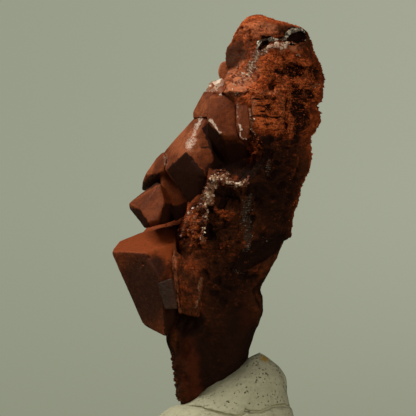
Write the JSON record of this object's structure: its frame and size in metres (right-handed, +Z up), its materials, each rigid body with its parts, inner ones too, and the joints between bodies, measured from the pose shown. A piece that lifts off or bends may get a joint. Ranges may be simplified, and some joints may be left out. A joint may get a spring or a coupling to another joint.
{
  "type": "mineral specimen of calcite on matrix",
  "caption": "Blocky iron-stained calcite crystals on a rough rust-red matrix, standing upright in a lump of mounting putty.",
  "frame": {"origin": "middle of the putty's flat underside", "axes": "+Z up, along the specimen's height; +Y away from the stone's rough front; +X away from the crystals"},
  "size_m": [0.0333, 0.0283, 0.0668],
  "materials": {
    "rusty_stone": "rough iron-stained rock, matt and granular",
    "coated_calcite": "calcite under a thin red-brown iron coat, satin",
    "druse": "crust of tiny pale crystals, sparkling",
    "putty": "grey-green mounting putty, matt with fine pits"
  },
  "bodies": {
    "root": {"matrix": "rusty_stone", "upper_crystals": "coated_calcite", "lower_crystals": "coated_calcite", "far_crystal": "coated_calcite", "cleft_druse": "druse", "putty": "putty"}
  },
  "joints": []
}
